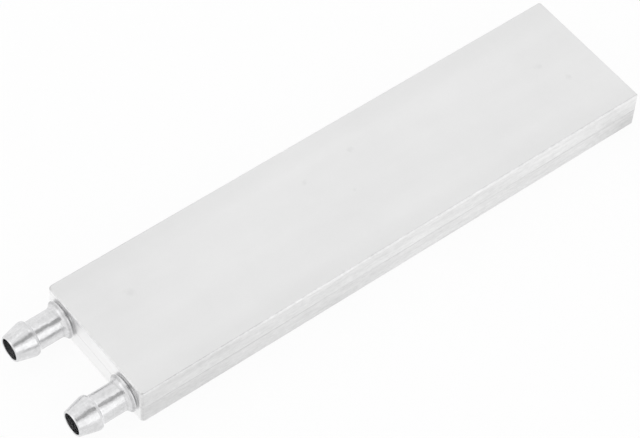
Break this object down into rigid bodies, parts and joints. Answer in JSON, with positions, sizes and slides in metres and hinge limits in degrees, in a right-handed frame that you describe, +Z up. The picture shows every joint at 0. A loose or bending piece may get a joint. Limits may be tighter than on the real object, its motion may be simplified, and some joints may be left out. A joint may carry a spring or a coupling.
{
  "type": "liquid cooling cold plate",
  "caption": "Flat rectangular liquid cooling plate with a brazed mid-height seam, a finned U-shaped coolant passage inside and hose fittings side by side on one short end.",
  "frame": {"origin": "centre of the lower contact face, in the plane of that face", "axes": "+X along the plate's length, away from the hose fittings; +Z up through the thickness, from the lower contact face to the upper; +Y across the width"},
  "size_m": [0.176, 0.04, 0.012],
  "materials": {
    "plate_aluminium": "satin, pickled after brazing",
    "turned_aluminium": "bright turned"
  },
  "bodies": {
    "root": {"lower_plate": "plate_aluminium", "upper_plate": "plate_aluminium", "inlet_fitting": "turned_aluminium", "outlet_fitting": "turned_aluminium"}
  },
  "joints": []
}
